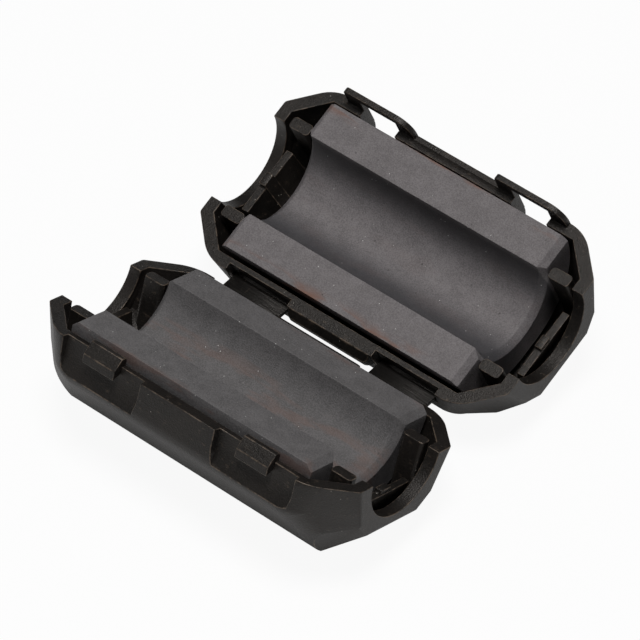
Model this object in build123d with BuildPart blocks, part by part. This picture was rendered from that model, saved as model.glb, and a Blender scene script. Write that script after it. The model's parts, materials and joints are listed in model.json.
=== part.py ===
"""Clip on ferrite bead: a hinged nylon case with a ferrite half in each shell.

The part lies open, as a shallow V. X runs along the cable, +Z is up and the base shell is on the -Y side.
Each half has its own seam plane, where the two rims meet when the case is shut. In a half's own
coordinates x runs along the cable, v runs from the cable's axis towards the hinge, and z stands out of the seam.
"""

from build123d import *

import os
from math import atan2, cos, radians, sin, tan

# ---- Driving dimensions, millimetres and degrees ----
ferrite_length = 28.9
ferrite_width = 17.6
ferrite_height = 8.1
bore_diameter = 9.7
ferrite_flat_half_width = 1.0  # the ferrite's flat bottom, between its large rounded corners
ferrite_end_chamfer = 0.65  # round the mating faces and the bore, at the ends
ferrite_lift = 0.93         # how far the ferrites float out of the seam when the case is open
ferrite_joint_gap = 0.02    # half the gap left between the mating faces when shut
ferrite_floor_gap = 0.2     # under the ferrite when the case is shut
ferrite_end_gap = 0.2       # between the ferrite and the posts that hold it
ferrite_side_gap = 0.4      # between the ferrite and the case, across the cable

wall = 1.3
end_room = 4.45             # from the ferrite's end to the case's end face
seam_gap = 0.1              # each rim stands this far back from the seam
side_wall_depth = 4.1       # where the outer side wall turns into the lower bevel
bottom_half_width = 5.0
cable_notch_radius = 5.0
end_face_half_width = 6.9
end_face_foot_half_width = 5.4
end_face_foot_depth = 4.5
end_face_base_half_width = 3.7
end_face_rim = 0.95         # end face left under the cable notch
end_splay = 43.0            # how far the corner and end facets lean from the cable's direction
corner_rounding = 4.0
bevel_rounding = 2.5
edge_rounding = 0.5

open_angle = 42.0           # from lying flat to the open rest pose
hinge_depth = 1.75          # hinge lines below the seam, in each shell
hinge_reach = 1.25          # hinge lines outside the ferrite's side
hinge_clearance = 0.08
strap_spacing = 18.0
strap_width = 6.9
strap_thickness = 0.45
strap_side_gap = 0.35
tongue_proud = 0.7          # the wall between the straps stands this proud, and slopes back to the rim
tongue_side_gap = 0.3
tongue_height = 0.6         # of its upright face
tongue_rounding = 0.5

latch_spacing = 18.5
catch_width = 3.8
catch_depth = 1.3           # undercut below the seam
catch_hook_rise = 0.4       # the undercut rises this much towards the wall
catch_rise = 0.75           # top of the catch's tab above the seam
catch_overhang = 1.1        # how far the catch stands out from its tab
catch_top_overhang = 0.25   # the same at the start of its lead-in slope
catch_slope_foot = 0.35     # the lead-in slope ends this far below the seam
tab_thickness = 0.5
latch_slack = 0.1           # between the undercut and the loop's bar, and behind the bar
loop_width = 8.25
loop_bar_height = 0.8
loop_proud = 0.05           # the loops stand this proud of the side wall
loop_window_gap = 0.25      # on each side of the catch
loop_window_depth = 5.0     # the window's sill below the seam
loop_near_rounding = 0.5
loop_far_rounding = 1.9
recess_side_gap = 0.4       # on each side of the loop
recess_lean = 0.15          # the recess grows shallower by this much down to the bar's foot
recess_end_depth = 4.2
recess_flare = 0.55         # each end widens by this much where the recess runs out
recess_side_angle = 80.0    # between the recess's floor and its ends, in plan

post_length = 2.4
post_width = 1.25
post_below_seam = 0.15
post_v = 5.5
post_rounding = 0.4
flap_width = 7.4
flap_thickness = 0.8
flap_top_depth = 3.6        # flap's top edge below the seam
flap_top_inset = 1.5        # from the end face to the flap's outer top edge
flap_root_inset = 2.6
flap_tooth_width = 1.4
flap_tooth_height = 0.5

# ---- Worked out from those ----
case_half_length = ferrite_length / 2 + end_room
ferrite_corner = ferrite_width / 2 - ferrite_flat_half_width
pocket_half_width = ferrite_width / 2 + ferrite_side_gap
case_half_width = pocket_half_width + wall
floor_depth = ferrite_height + ferrite_floor_gap
case_depth = floor_depth + wall
end_face_depth = cable_notch_radius + end_face_rim
above = 6.0                 # clear of everything above the seam
end_face_slope = (end_face_half_width - end_face_foot_half_width) / end_face_foot_depth
end_outline_top = end_face_half_width + end_face_slope * above
hinge_v = ferrite_width / 2 + hinge_reach
strap_end_radius = strap_thickness / 2
strap_pocket_face = hinge_v - strap_end_radius - hinge_clearance
strap_pocket_width = strap_width + 2 * strap_side_gap
strap_pocket_depth = hinge_depth + strap_end_radius + hinge_clearance
tongue_half_length = (strap_spacing - strap_pocket_width) / 2 - tongue_side_gap
bar_foot = catch_depth + latch_slack
bar_top = bar_foot + loop_bar_height
recess_v = pocket_half_width + tab_thickness
recess_foot_v = recess_v + recess_lean
bar_inner_v = recess_foot_v + latch_slack
loop_outer_v = case_half_width + loop_proud
window_width = catch_width + 2 * loop_window_gap
recess_width = loop_width + 2 * recess_side_gap
ferrite_face = ferrite_lift - ferrite_joint_gap
bevel_angle = atan2(case_half_width - bottom_half_width, case_depth - side_wall_depth)
half_fold = radians(open_angle / 2)

# ---- Where the two halves lie when open ----
bevel_turn = bevel_rounding * tan(bevel_angle / 2)
hinge_height = (
    (case_depth - bevel_rounding - hinge_depth) * cos(half_fold)
    - (hinge_v - bottom_half_width + bevel_turn) * sin(half_fold)
    + bevel_rounding
)
half_reach = hinge_depth + hinge_v * cos(half_fold) - hinge_depth * sin(half_fold)
half_height = hinge_height + hinge_v * sin(half_fold) + hinge_depth * cos(half_fold)
base_seam = Plane((0, -half_reach, half_height), x_dir=(1, 0, 0), z_dir=(0, sin(half_fold), cos(half_fold)))
lid_seam = Plane((0, half_reach, half_height), x_dir=(-1, 0, 0), z_dir=(0, -sin(half_fold), cos(half_fold)))

os.makedirs("parts", exist_ok=True)


def across_plane(seam):
    """Plane square to the cable at a half's middle: sketches are in v, z."""
    return Plane(seam.origin, x_dir=seam.y_dir, z_dir=seam.x_dir)


def along_plane(seam):
    """Plane through the cable's axis, facing the latch: sketches are in x, z."""
    return Plane(seam.origin, x_dir=seam.x_dir, z_dir=-seam.y_dir)


def at_z(edges, seam, z):
    """Those edges whose middle stands at height z in the half's own coordinates."""
    return edges.filter_by(lambda edge: abs(seam.to_local_coords(edge.center()).Z - z) < 0.05)


def trough(seam, inset, top):
    """Octagonal trough with splayed ends, every face set in by inset, as one solid up to top."""
    across = across_plane(seam)
    end_inset = inset * (1 / cos(radians(end_splay)) - tan(radians(end_splay)))
    with BuildPart() as body:
        with BuildSketch(across.offset(case_half_length - inset)):
            with BuildLine():
                Polyline(
                    (-end_outline_top, above),
                    (-end_face_foot_half_width, -end_face_foot_depth),
                    (-end_face_base_half_width, -end_face_depth),
                    (end_face_base_half_width, -end_face_depth),
                    (end_face_foot_half_width, -end_face_foot_depth),
                    (end_outline_top, above),
                    close=True,
                )
            make_face()
            if inset:
                offset(amount=-end_inset, kind=Kind.INTERSECTION, mode=Mode.REPLACE)
        extrude(amount=inset - case_half_length, taper=-end_splay)
        mirror(about=across)
        with BuildSketch(across):
            with BuildLine():
                Polyline(
                    (-case_half_width, above + inset),
                    (-case_half_width, -side_wall_depth),
                    (-bottom_half_width, -case_depth),
                    (bottom_half_width, -case_depth),
                    (case_half_width, -side_wall_depth),
                    (case_half_width, above + inset),
                    close=True,
                )
            make_face()
            if inset:
                offset(amount=-inset, kind=Kind.INTERSECTION, mode=Mode.REPLACE)
        extrude(amount=case_half_length, both=True, mode=Mode.INTERSECT)
        split(bisect_by=seam.offset(top), keep=Keep.BOTTOM)
    return body.part


def rounded_outside(seam):
    """A shell's outside as one solid, its bevels and corners rounded and its rim left sharp."""
    with BuildPart() as body:
        add(trough(seam, 0, -seam_gap))
        lengthwise = body.edges().filter_by(Axis.X).filter_by(lambda edge: edge.length > ferrite_length / 2)
        fillet(at_z(lengthwise, seam, -case_depth) + at_z(lengthwise, seam, -side_wall_depth), bevel_rounding)
        upright = body.edges().filter_by(
            lambda edge: abs(abs(seam.to_local_coords(edge.center()).Y) - case_half_width) < 0.01
            and abs((edge % 0.5).dot(seam.x_dir)) < 0.5
        )
        fillet(upright, corner_rounding)
        ends = body.edges().filter_by(
            lambda edge: abs(seam.to_local_coords(edge.center()).X) > case_half_length - 0.01
            and abs(seam.to_local_coords(edge.center()).Z + seam_gap) > 0.01
        )
        fillet(ends, edge_rounding)
    return body.part


# ---- The two shells: alike but for catches on the base and loops on the lid ----
for name, seam in (("base_case", base_seam), ("lid_case", lid_seam)):
    across = across_plane(seam)
    along = along_plane(seam)
    outside = rounded_outside(seam)
    cavity = trough(seam, wall, above - wall)
    latch_x = latch_spacing / 2
    with BuildPart() as case:
        add(outside)
        add(cavity, mode=Mode.SUBTRACT)

        # Posts that hold the ferrite lengthwise, two at each end.
        post_x = ferrite_length / 2 + ferrite_end_gap + post_length / 2
        with BuildSketch(seam.offset(-post_below_seam)):
            with Locations(*((x * post_x, v * post_v) for x in (-1, 1) for v in (-1, 1))):
                RectangleRounded(post_length, post_width, post_rounding)
        extrude(amount=-floor_depth)
        # Grip flaps, one at each end: a leaning plate with a tooth in the middle of its top edge.
        for width, top_depth in ((flap_width, flap_top_depth), (flap_tooth_width, flap_top_depth - flap_tooth_height)):
            with BuildSketch(along):
                with BuildLine():
                    Polyline(
                        (case_half_length - flap_root_inset, -floor_depth),
                        (case_half_length - flap_top_inset, -top_depth),
                        (case_half_length - flap_top_inset - flap_thickness, -top_depth),
                        (case_half_length - flap_root_inset - flap_thickness, -floor_depth),
                        close=True,
                    )
                make_face()
                mirror(about=Plane.YZ)
            extrude(amount=width / 2, both=True)
        add(outside, mode=Mode.INTERSECT)

        # The tongue between the hinge straps stands proud on the hinge side, clear of the other half's in folding.
        tongue_top = seam_gap + tongue_proud
        tongue_foot = tongue_top + tongue_height
        with BuildSketch(across):
            with BuildLine():
                Polyline(
                    (case_half_width - wall / 2, -seam_gap),
                    (case_half_width, -seam_gap),
                    (case_half_width + tongue_proud, -tongue_top),
                    (case_half_width + tongue_proud, -tongue_foot),
                    (case_half_width - wall / 2, -tongue_foot - tongue_proud - wall / 2),
                    close=True,
                )
            make_face()
        extrude(amount=tongue_half_length, both=True)
        tongue_ends = case.edges().filter_by(
            lambda edge: abs(seam.to_local_coords(edge.center()).Y - case_half_width - tongue_proud) < 0.01
            and abs(seam.to_local_coords(edge.center()).X) > tongue_half_length - 0.01
        )
        fillet(tongue_ends, tongue_rounding)

        # Cable notches through both end walls, clear of the flaps.
        with BuildSketch(*(across.offset(side * case_half_length) for side in (-1, 1))):
            Circle(cable_notch_radius)
        extrude(amount=wall, both=True, mode=Mode.SUBTRACT)

        # Pockets that the hinge straps lie in.
        with BuildSketch(*(across.offset(side * strap_spacing / 2) for side in (-1, 1))):
            with Locations((strap_pocket_face, -strap_pocket_depth)):
                Rectangle(above, above, align=(Align.MIN, Align.MIN))
        extrude(amount=strap_pocket_width / 2, both=True, mode=Mode.SUBTRACT)

        if name == "base_case":
            # Recesses for the lid's loops: flared at the ends, and running out downwards.
            for side in (-1, 1):
                levels = (above, recess_v), (-bar_top, recess_foot_v), (-recess_end_depth, case_half_width)
                for upper, lower in zip(levels, levels[1:]):
                    for z, floor_v in (upper, lower):
                        flare = recess_flare * (case_half_width - floor_v) / (case_half_width - recess_v)
                        with BuildSketch(seam.offset(z)):
                            with Locations((side * latch_x, -case_half_width - wall)):
                                Trapezoid(
                                    recess_width + 2 * flare,
                                    case_half_width + wall - floor_v,
                                    recess_side_angle,
                                    align=(Align.CENTER, Align.MIN),
                                )
                    loft(ruled=True, mode=Mode.SUBTRACT)
            # Catches, each on a tab that stands above the rim.
            with BuildSketch(*(across.offset(side * latch_x) for side in (-1, 1))):
                with BuildLine():
                    Polyline(
                        (-pocket_half_width, catch_rise - tab_thickness / 2),
                        (-pocket_half_width - tab_thickness / 2, catch_rise),
                        (-recess_v - catch_top_overhang, catch_rise),
                        (-recess_v - catch_overhang, -catch_slope_foot),
                        (-recess_v - catch_overhang, -catch_depth),
                        (-recess_v, -catch_depth + catch_hook_rise),
                        (-pocket_half_width, -catch_depth + catch_hook_rise),
                        close=True,
                    )
                make_face()
            extrude(amount=catch_width / 2, both=True)
        else:
            # Latch loops, each a bar on two legs that run down the side wall to where its bevel begins.
            with BuildSketch(along.offset(bar_inner_v)):
                with Locations(*((side * latch_x, bar_top) for side in (-1, 1))):
                    Rectangle(loop_width, bar_top + side_wall_depth - bevel_turn, align=(Align.CENTER, Align.MAX))
                top_corners = vertices().group_by(Axis.Y)[-1].sort_by(Axis.X)
                fillet(top_corners[::2], loop_far_rounding)
                top_corners = vertices().group_by(Axis.Y)[-1].sort_by(Axis.X)
                fillet((top_corners[1], top_corners[3]), loop_near_rounding)
            extrude(amount=loop_outer_v - bar_inner_v)
            with BuildSketch(along.offset(pocket_half_width - wall)):
                with Locations(*((side * latch_x, bar_foot) for side in (-1, 1))):
                    Rectangle(window_width, bar_foot + loop_window_depth, align=(Align.CENTER, Align.MAX))
            extrude(amount=3 * wall, mode=Mode.SUBTRACT)
    case.part.label = name
    export_step(case.part, f"parts/{name}.step")

# ---- The ferrite halves ----
for name, seam in (("lower_ferrite_half", base_seam), ("upper_ferrite_half", lid_seam)):
    with BuildPart() as ferrite:
        with BuildSketch(across_plane(seam)):
            with Locations((0, ferrite_face)):
                Rectangle(ferrite_width, ferrite_height, align=(Align.CENTER, Align.MAX))
            fillet(vertices().group_by(Axis.Y)[0], ferrite_corner)
            with Locations((0, ferrite_face)):
                Circle(bore_diameter / 2, mode=Mode.SUBTRACT)
        extrude(amount=ferrite_length / 2, both=True)
        # One chamfer runs round the mating faces and the bore at each end, and stops short of the outer sides.
        leg_middle = (ferrite_width + bore_diameter) / 4
        face_centre = seam.from_local_coords(Vector(0, 0, ferrite_face))
        inner_end_edges = ferrite.edges().filter_by(
            lambda edge: abs(seam.to_local_coords(edge.center()).X) > ferrite_length / 2 - 0.01
            and abs((edge.center() - face_centre).cross(seam.x_dir)) < leg_middle + 0.1
        )
        chamfer(inner_end_edges, ferrite_end_chamfer)
    ferrite.part.label = name
    export_step(ferrite.part, f"parts/{name}.step")

# ---- The hinge straps ----
for name, side in (("hinge_strap_left", -1), ("hinge_strap_right", 1)):
    with BuildPart() as strap:
        with BuildSketch(Plane.YZ.offset(side * strap_spacing / 2)):
            with Locations((0, hinge_height)):
                SlotCenterToCenter(2 * hinge_depth, strap_thickness)
        extrude(amount=strap_width / 2, both=True)
    strap.part.label = name
    export_step(strap.part, f"parts/{name}.step")
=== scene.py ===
"""Looks of the clip on ferrite bead: worn black nylon shells, film hinges and ground ferrite halves."""

import json
from math import radians

import bmesh
import bpy
from mathutils import Matrix, Vector


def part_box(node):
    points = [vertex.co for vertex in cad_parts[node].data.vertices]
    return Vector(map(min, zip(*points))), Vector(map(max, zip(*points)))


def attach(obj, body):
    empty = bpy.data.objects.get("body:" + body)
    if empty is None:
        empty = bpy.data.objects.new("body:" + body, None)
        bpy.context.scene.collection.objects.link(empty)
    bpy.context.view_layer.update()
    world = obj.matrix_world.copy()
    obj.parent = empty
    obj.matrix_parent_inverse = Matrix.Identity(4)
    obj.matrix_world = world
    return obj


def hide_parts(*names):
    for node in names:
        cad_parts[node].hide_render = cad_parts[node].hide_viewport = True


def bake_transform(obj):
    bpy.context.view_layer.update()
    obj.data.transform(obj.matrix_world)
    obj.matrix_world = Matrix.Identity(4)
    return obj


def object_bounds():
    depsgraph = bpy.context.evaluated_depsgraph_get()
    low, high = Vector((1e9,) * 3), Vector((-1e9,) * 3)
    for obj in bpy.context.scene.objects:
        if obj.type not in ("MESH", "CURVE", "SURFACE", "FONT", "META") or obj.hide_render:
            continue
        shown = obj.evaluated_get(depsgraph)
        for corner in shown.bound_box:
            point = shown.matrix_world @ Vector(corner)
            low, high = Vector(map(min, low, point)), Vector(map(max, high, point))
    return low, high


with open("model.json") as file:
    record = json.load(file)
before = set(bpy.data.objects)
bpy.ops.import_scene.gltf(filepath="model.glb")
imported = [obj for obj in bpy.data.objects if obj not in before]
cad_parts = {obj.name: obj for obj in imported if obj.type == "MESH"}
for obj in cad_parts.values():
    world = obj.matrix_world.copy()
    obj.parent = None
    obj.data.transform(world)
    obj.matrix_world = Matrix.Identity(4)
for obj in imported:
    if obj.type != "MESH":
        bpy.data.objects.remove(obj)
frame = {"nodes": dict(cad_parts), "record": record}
cad_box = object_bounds()

MM = 0.001
JOINTS = {joint["name"]: joint for joint in frame["record"]["behaviour"]["joints"]}
BASE_HINGE = Vector(JOINTS["base_hinge"]["pos_m"])
LID_HINGE = Vector(JOINTS["lid_hinge"]["pos_m"])
CHANNEL = Vector(frame["record"]["mounts"][0]["pos_m"])
BASE_UP = Vector(JOINTS["lower_ferrite_float"]["axis"]).normalized()
LID_UP = Vector(JOINTS["upper_ferrite_float"]["axis"]).normalized()


# ---- Shader expressions ----
class Wire:
    """A value, vector or colour inside one material; arithmetic on values adds Math nodes."""

    def __init__(self, tree, socket=None):
        self.tree = tree
        self.socket = socket

    def node(self, kind, output=0, settings=None, sockets=None):
        """A node of this kind: its settings first, then values or wires for its sockets; gives one output."""
        made = self.tree.nodes.new("ShaderNode" + kind)
        for name, value in (settings or {}).items():
            setattr(made, name, value)
        for name, value in (sockets or {}).items():
            if isinstance(value, Wire):
                self.tree.links.new(value.socket, made.inputs[name])
            else:
                made.inputs[name].default_value = value
        return Wire(self.tree, made.outputs[output])

    def math(self, operation, *values):
        return self.node("Math", 0, {"operation": operation}, dict(enumerate(values)))

    def __add__(self, other):
        return self.math("ADD", self, other)

    __radd__ = __add__

    def __sub__(self, other):
        return self.math("SUBTRACT", self, other)

    def __rsub__(self, other):
        return self.math("SUBTRACT", other, self)

    def __mul__(self, other):
        return self.math("MULTIPLY", self, other)

    __rmul__ = __mul__

    def __abs__(self):
        return self.math("ABSOLUTE", self)

    def above(self, low, high):
        """0 below low, 1 above high, and smooth between."""
        return self.node("MapRange", 0, {"interpolation_type": "SMOOTHSTEP"}, {0: self, 1: low, 2: high})

    def noise(self, size, detail=2.0, roughness=0.5, stretch=(1, 1, 1)):
        """Noise with features of about size millimetres, drawn out along an axis by its stretch."""
        scale = tuple(1 / (size * MM * pull) for pull in stretch)
        place = self.node("VectorMath", 0, {"operation": "MULTIPLY"}, {0: self, 1: scale})
        values = {"Vector": place, "Scale": 1.0, "Detail": detail, "Roughness": roughness}
        return self.node("TexNoise", "Fac", {}, values)

    def along(self, direction, start=(0, 0, 0)):
        """How far this place lies from start along a direction, in millimetres."""
        offset = self.node("VectorMath", 0, {"operation": "SUBTRACT"}, {0: self, 1: tuple(start)})
        reach = {0: offset, 1: tuple(Vector(direction) / MM)}
        return self.node("VectorMath", "Value", {"operation": "DOT_PRODUCT"}, reach)

    def specks(self, spacing, size, share):
        """Round dots of a size in millimetres, at about that share of cells this far apart."""
        cells = {"Vector": self, "Scale": 1 / (spacing * MM)}
        near = self.node("TexVoronoi", "Distance", {}, cells)
        pick = self.node("TexVoronoi", "Color", {}, cells)
        chance = self.node("SeparateColor", 0, {}, {0: pick})
        chosen = self.math("LESS_THAN", chance, share)
        return (1 - near.above(size / spacing * 0.5, size / spacing)) * chosen

    def mix(self, first, second):
        """first where this value is 0 and second where it is 1, as colours."""
        ends = [end if isinstance(end, Wire) else (*end, 1) for end in (first, second)]
        return self.node("Mix", 2, {"data_type": "RGBA"}, {0: self, 6: ends[0], 7: ends[1]})


def finish(name, build, specular=0.5):
    """A material; build gives its colour, roughness and bump height in millimetres, from the place."""
    material = bpy.data.materials.new(name)
    material.use_nodes = True
    tree = material.node_tree
    tree.nodes.clear()
    start = Wire(tree)
    place = start.node("TexCoord", "Object")
    colour, rough, height = build(place)
    bump = start.node("Bump", 0, {}, {"Strength": 1.0, "Distance": MM, "Height": height})
    sockets = {
        "Base Color": colour,
        "Roughness": rough,
        "Normal": bump,
        "Specular IOR Level": specular,
        "Specular Tint": SHEEN_TINT,
    }
    shader = start.node("BsdfPrincipled", 0, {}, sockets)
    tree.nodes.new("ShaderNodeOutputMaterial")
    tree.links.new(shader.socket, tree.nodes["Material Output"].inputs[0])
    return material


# ---- Finishes ----
NYLON_DARK = (0.0038, 0.0034, 0.0030)
NYLON_BROWN = (0.0112, 0.0092, 0.0079)
NYLON_WORN = (0.150, 0.112, 0.082)
DUST = (0.42, 0.39, 0.34)
FERRITE_GREY = (0.108, 0.099, 0.102)
FERRITE_PALE = (0.186, 0.172, 0.176)
# the base half's ferrite, darkened as painted shade
FERRITE_GREY_IN_PAINTED_SHADE = (0.078, 0.075, 0.076)
FERRITE_PALE_IN_PAINTED_SHADE = (0.140, 0.134, 0.136)
# painted shade for the bore's walls
FERRITE_PAINTED_SHADE = (0.022, 0.024, 0.029)
FERRITE_BROWN = (0.165, 0.085, 0.062)
# painted shade in the pits
FERRITE_PIT_PAINTED_SHADE = (0.045, 0.04, 0.04)
FERRITE_DUST = (0.75, 0.74, 0.72)
FERRITE_SIDE = 8.8      # from the channel's middle to the ferrite's outer side, millimetres
BORE_LIP = 4.9          # and to the bore's lip
SHEEN_TINT = (1.0, 0.94, 0.89, 1.0)


def nylon(place, rubbed=0.0):
    """Matt moulded nylon with fine grain, scuffs and dust; rubbed tells how far an edge is worn pale."""
    patches = place.noise(4.0, 3.0)
    grain = place.noise(0.16, 3.0, 0.65)
    scuffs = place.noise(0.8, 4.0, 0.65)
    streaks = place.noise(0.22, 4.0, 0.7, (7, 1, 1))
    dust = place.specks(0.7, 0.06, 0.25)
    colour = (patches * 0.55 + grain * 0.45).above(0.36, 0.62).mix(NYLON_DARK, NYLON_BROWN)
    worn = scuffs.above(0.54, 0.70) * streaks.above(0.48, 0.66) * 0.4
    if rubbed:
        worn = scuffs.above(0.36, 0.62) * (0.5 + streaks * 0.6) * rubbed
    colour = worn.mix(colour, NYLON_WORN)
    colour = (dust * 0.7).mix(colour, DUST)
    rough = 0.30 + grain * 0.18 + patches * 0.1
    height = grain * 0.045 + scuffs * 0.026 + streaks * 0.012
    return colour, rough, height


def worn_edge(place):
    """Nylon as it is on a broken edge."""
    return nylon(place, 0.8)


def strap_scuffed(place):
    """Cracked and scratched by bending: creases run along the fold."""
    creases = place.noise(0.25, 4.0, 0.7, (6, 1, 1))
    scratches = place.noise(0.2, 4.0, 0.7, (1, 7, 7))
    colour = creases.above(0.52, 0.72).mix(NYLON_DARK, NYLON_BROWN)
    colour = (scratches.above(0.6, 0.72) * 0.5).mix(colour, NYLON_WORN)
    rough = 0.36 + creases * 0.2
    return colour, rough, creases * 0.05 + scratches * 0.02


def strap_ridged(place):
    """Fine ridges along the fold."""
    ridges = place.noise(0.14, 2.0, 0.5, (14, 1, 1))
    grain = place.noise(0.3, 3.0)
    colour = ridges.above(0.55, 0.75).mix(NYLON_DARK, NYLON_BROWN)
    rough = 0.38 + grain * 0.15
    return colour, rough, ridges * 0.03 + grain * 0.01


def ferrite(place, up, centre, grey, pale, edge_stain, bore_stain, bore_painted_shade, least_painted_shade_at=0):
    """Ground ferrite: grainy, with painted shade up the bore's walls, and stained brown along its outer
    edges.
    """
    across = Vector((0, up.z, -up.y))
    v = place.along(across, centre)
    grain = place.noise(0.14, 3.0, 0.75)
    mottling = place.noise(1.6, 4.0, 0.6)
    stains = place.noise(1.9, 3.0, 0.6, (4, 1, 1))
    pits = place.specks(0.8, 0.12, 0.16)
    dust = place.specks(0.5, 0.055, 0.14)
    colour = (grain * 0.75 + mottling * 0.25).above(0.38, 0.62).mix(grey, pale)
    # Painted shade: the bore's walls are darkened towards the lips, least at the given offset across the
    # channel.
    walls = abs(v - least_painted_shade_at).above(0.9, 4.4) * (1 - abs(v).above(BORE_LIP - 0.15, BORE_LIP))
    colour = (walls * bore_painted_shade).mix(colour, FERRITE_PAINTED_SHADE)
    edge = abs(v).above(FERRITE_SIDE - 1.3, FERRITE_SIDE)
    inner = 1 - abs(v).above(3.0, BORE_LIP)
    brown = (edge * edge_stain + inner * bore_stain) * stains.above(0.5, 0.64)
    colour = brown.mix(colour, FERRITE_BROWN)
    # Painted shade: the pits are darkened.
    colour = (pits * 0.5).mix(colour, FERRITE_PIT_PAINTED_SHADE)
    colour = (dust * 0.85).mix(colour, FERRITE_DUST)
    rough = 0.5 + grain * 0.25
    height = grain * 0.045 - pits * 0.03
    return colour, rough, height


def lower_ferrite(place):
    """The base's half: the ferrite's grey darkened as painted shade, stained in the bore."""
    shades = {"grey": FERRITE_GREY_IN_PAINTED_SHADE, "pale": FERRITE_PALE_IN_PAINTED_SHADE}
    return ferrite(place, BASE_UP, CHANNEL, **shades, edge_stain=0.4, bore_stain=0.3, bore_painted_shade=0.15)


def upper_ferrite(place):
    """The lid's half: paler, with brown edges and strong painted shade on the bore's walls."""
    centre = (CHANNEL.x, -CHANNEL.y, CHANNEL.z)
    shades = {"grey": FERRITE_GREY, "pale": FERRITE_PALE, "least_painted_shade_at": 0.8}
    return ferrite(place, LID_UP, centre, **shades, edge_stain=0.95, bore_stain=0.05, bore_painted_shade=0.7)


moulded = finish("moulded_black_nylon", nylon, specular=0.42)
rubbed = finish("rubbed_nylon_edge", worn_edge)
scuffed = finish("scuffed_film_strap", strap_scuffed)
ridged = finish("ridged_film_strap", strap_ridged)
lower_ground = finish("lower_ground_ferrite", lower_ferrite)
upper_ground = finish("upper_ground_ferrite", upper_ferrite)

# ---- Shells and cores: the CAD solids with their edges broken ----
CRISP_ANGLE = radians(28)       # edges sharper than this are broken
SHELL_EDGE = 0.07               # width of the broken edges, millimetres
CORE_EDGE = 0.05
EDGE_STEPS = 2
SHADING_ANGLE = radians(50)     # edges sharper than this stay sharp in the shading
FLAT_ANGLE = radians(0.5)       # faces closer to one plane than this are joined
MERGE = 2e-7                    # points closer than this are one, metres
FLAT_WEIGHT = 80


def edges_broken(name, node, body, width, faces, edges):
    """A copy of a CAD node with a fine bevel on every crisp edge; the bevels take their own material."""
    mesh = frame["nodes"][node].data.copy()
    work = bmesh.new()
    work.from_mesh(mesh)
    bmesh.ops.remove_doubles(work, verts=work.verts, dist=MERGE)
    bmesh.ops.dissolve_limit(work, angle_limit=FLAT_ANGLE, verts=work.verts, edges=work.edges)
    for face in work.faces:
        face.smooth = True
        face.material_index = 0
    crisp = work.edges.layers.float.new("bevel_weight_edge")
    for edge in work.edges:
        if edge.is_manifold and edge.is_convex and edge.calc_face_angle() > CRISP_ANGLE:
            edge[crisp] = 1.0
    work.to_mesh(mesh)
    work.free()
    mesh.materials.clear()
    mesh.materials.append(faces)
    mesh.materials.append(edges)
    piece = bpy.data.objects.new(name, mesh)
    bpy.context.scene.collection.objects.link(piece)
    bevel = piece.modifiers.new("edges", "BEVEL")
    bevel.width = width * MM
    bevel.segments = EDGE_STEPS
    bevel.limit_method = "WEIGHT"
    bevel.use_clamp_overlap = False
    bevel.material = 1
    bevel.harden_normals = False
    bevel.miter_outer = "MITER_ARC"
    bpy.context.view_layer.objects.active = piece
    bpy.ops.object.modifier_apply(modifier=bevel.name)
    piece.data.set_sharp_from_angle(angle=SHADING_ANGLE)
    evened = piece.modifiers.new("flat faces stay flat", "WEIGHTED_NORMAL")
    evened.keep_sharp = True
    evened.weight = FLAT_WEIGHT
    bpy.ops.object.modifier_apply(modifier=evened.name)
    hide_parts(node)
    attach(piece, body)
    return piece


for name, node, body in (("base_shell", "base_case", "base"), ("lid_shell", "lid_case", "lid")):
    edges_broken(name, node, body, SHELL_EDGE, moulded, rubbed)
for half, ground in (("lower", lower_ground), ("upper", upper_ground)):
    body = half + "_ferrite"
    edges_broken(half + "_core", body + "_half", body, CORE_EDGE, ground, ground)


# ---- Film hinges: each strap is one skin from wall to wall, in two pieces that meet in its middle ----
STRAP_THIN = 0.26       # thickness at the bending lines, millimetres
STRAP_FULL = 0.44
STRAP_FILM = 0.35       # half the length of a bending line's thin part
STRAP_ROOT = 0.55       # how far the skin runs into the shell's wall past the bending line
STRAP_TURN = 0.2        # length over which the skin turns from the strap's level to the wall's
STRAP_EDGE = 0.06
ROWS_PER_MM = 14


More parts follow.
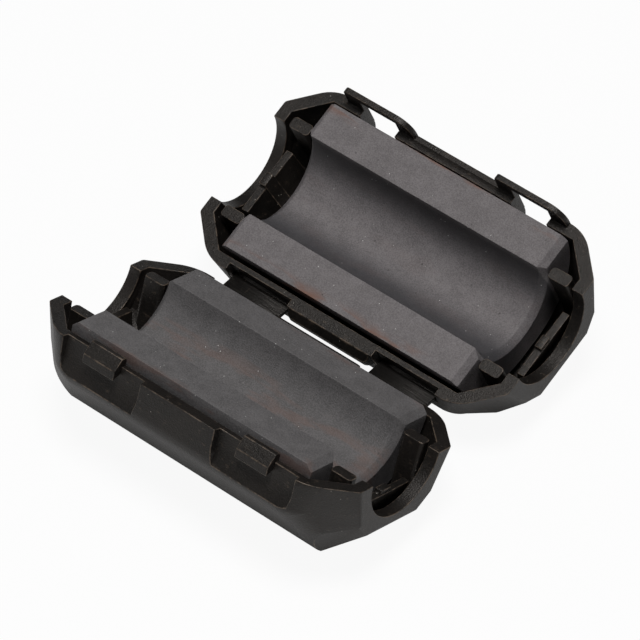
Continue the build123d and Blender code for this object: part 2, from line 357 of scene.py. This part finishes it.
def half_strap(name, node, side, up, hinge, material):
    """A strap from its middle (y = 0) to one shell's wall; side is -1 for the base and 1 for the lid."""
    low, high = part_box(node)
    level = hinge.z
    reach = abs(hinge.y)
    into = Vector((0, side * up.z, abs(up.y)))
    rows = []
    length = reach + STRAP_ROOT * MM
    count = int(length / MM * ROWS_PER_MM)
    for step in range(count + 1):
        run = length * step / count
        past = max(run - reach, 0)
        centre = Vector((0, side * min(run, reach), level)) + into * past
        near = max(0, 1 - abs(run - reach) / (STRAP_FILM * MM))
        near = near * near * (3 - 2 * near)
        half = (STRAP_FULL + (STRAP_THIN - STRAP_FULL) * near) * MM / 2
        turn = min(max((run - reach) / (STRAP_TURN * MM) * 0.5 + 0.5, 0), 1)
        lean = Vector((0, 0, 1)).lerp(Vector((0, -side * abs(up.y), up.z)), turn).normalized()
        rows.append((centre, lean, half))
    mesh = bmesh.new()
    loops = []
    inset = STRAP_EDGE * MM
    for centre, lean, half in rows:
        ring = []
        upper = (low.x, half - inset), (low.x + inset, half), (high.x - inset, half), (high.x, half - inset)
        lower = tuple((x, -z) for x, z in reversed(upper))
        for x, z in upper + lower:
            point = centre + lean * z
            ring.append(mesh.verts.new((x, point.y, point.z)))
        loops.append(ring)
    for first, second in zip(loops, loops[1:]):
        for corner in range(len(first)):
            after = (corner + 1) % len(first)
            mesh.faces.new((first[corner], first[after], second[after], second[corner]))
    mesh.faces.new(loops[0][::-1])
    mesh.faces.new(loops[-1])
    bmesh.ops.recalc_face_normals(mesh, faces=mesh.faces)
    skin = bpy.data.meshes.new(name)
    mesh.to_mesh(skin)
    mesh.free()
    for face in skin.polygons:
        face.use_smooth = True
    skin.materials.append(material)
    piece = bpy.data.objects.new(name, skin)
    bpy.context.scene.collection.objects.link(piece)
    skin.set_sharp_from_angle(angle=SHADING_ANGLE)
    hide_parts(node)
    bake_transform(piece)


for node, material in (("hinge_strap_left", scuffed), ("hinge_strap_right", ridged)):
    half_strap(node + "_base_side", node, -1, BASE_UP, BASE_HINGE, material)
    half_strap(node + "_lid_side", node, 1, LID_UP, LID_HINGE, material)


# ---- Floor, light and camera ----
low, high = (Vector(corner) for corner in cad_box)
middle = (low + high) / 2
FLOOR_REACH = 3.0       # metres
FLOOR_PALE = 0.85
FLOOR_WHITE = 0.93      # how much of the floor's white doesn't take shadow
FLOOR_SHEEN = 0.12      # how white it is in reflections
WORLD_STRENGTH = 0.07


def plain_floor():
    """A pale floor that stays white round the part and keeps a faint shadow under it."""
    mesh = bpy.data.meshes.new("floor")
    corners = [(x * FLOOR_REACH, y * FLOOR_REACH, 0) for x, y in ((-1, -1), (1, -1), (1, 1), (-1, 1))]
    mesh.from_pydata(corners, [], [(0, 1, 2, 3)])
    floor = bpy.data.objects.new("floor", mesh)
    bpy.context.scene.collection.objects.link(floor)
    floor.location.z = low.z
    material = bpy.data.materials.new("pale_floor")
    material.use_nodes = True
    tree = material.node_tree
    tree.nodes.clear()
    start = Wire(tree)
    glossy = start.node("LightPath", "Is Glossy Ray")
    seen = start.node("LightPath", "Is Camera Ray") * FLOOR_WHITE + glossy * FLOOR_SHEEN
    card = start.node("BsdfDiffuse", 0, {}, {"Color": (FLOOR_PALE, FLOOR_PALE, FLOOR_PALE, 1)})
    glow = start.node("Emission", 0, {}, {"Color": (1, 1, 1, 1), "Strength": 1.0})
    out = start.node("MixShader", 0, {}, {0: seen, 1: card, 2: glow})
    tree.nodes.new("ShaderNodeOutputMaterial")
    tree.links.new(out.socket, tree.nodes["Material Output"].inputs[0])
    mesh.materials.append(material)


def soft_light(name, direction, distance, size, power):
    """A round soft light at a distance from the part's middle, in metres, facing it; power in watts."""
    lamp = bpy.data.lights.new(name, "AREA")
    lamp.shape = "DISK"
    lamp.size = size
    lamp.energy = power
    holder = bpy.data.objects.new(name, lamp)
    bpy.context.scene.collection.objects.link(holder)
    aim = Vector(direction).normalized()
    holder.location = middle + aim * distance
    holder.rotation_euler = aim.to_track_quat("Z", "Y").to_euler()


def studio_world():
    """White to the camera and dim to the part."""
    world = bpy.data.worlds.new("studio")
    world.use_nodes = True
    bpy.context.scene.world = world
    tree = world.node_tree
    tree.nodes.clear()
    start = Wire(tree)
    rays = start.node("LightPath", "Is Camera Ray")
    strength = WORLD_STRENGTH + rays * (1 - WORLD_STRENGTH)
    glow = start.node("Background", 0, {}, {"Color": (1, 1, 1, 1), "Strength": strength})
    tree.nodes.new("ShaderNodeOutputWorld")
    tree.links.new(glow.socket, tree.nodes["World Output"].inputs[0])


plain_floor()
studio_world()
soft_light("key", (0.1, -0.08, 1.0), distance=0.5, size=0.2, power=2.0)
soft_light("fill", (-0.9, -0.5, 0.5), distance=0.6, size=0.3, power=0.2)

CAMERA_PLACE = Vector((224.3, -254.2, 372.2)) * MM
CAMERA_RIGHT = Vector((0.7643, 0.6445, -0.0216)).normalized()
CAMERA_AHEAD = Vector((-0.4518, 0.5112, -0.7312)).normalized()
view = bpy.data.cameras.new("camera")
view.sensor_width = 36.0
view.lens = 298.4
view.clip_start = 0.01
camera = bpy.data.objects.new("camera", view)
bpy.context.scene.collection.objects.link(camera)
camera_up = CAMERA_RIGHT.cross(CAMERA_AHEAD).normalized()
turned = Matrix((CAMERA_RIGHT, camera_up, -CAMERA_AHEAD)).transposed().to_4x4()
camera.matrix_world = Matrix.Translation(CAMERA_PLACE) @ turned
bpy.context.scene.camera = camera
bpy.context.scene.view_settings.view_transform = "Standard"
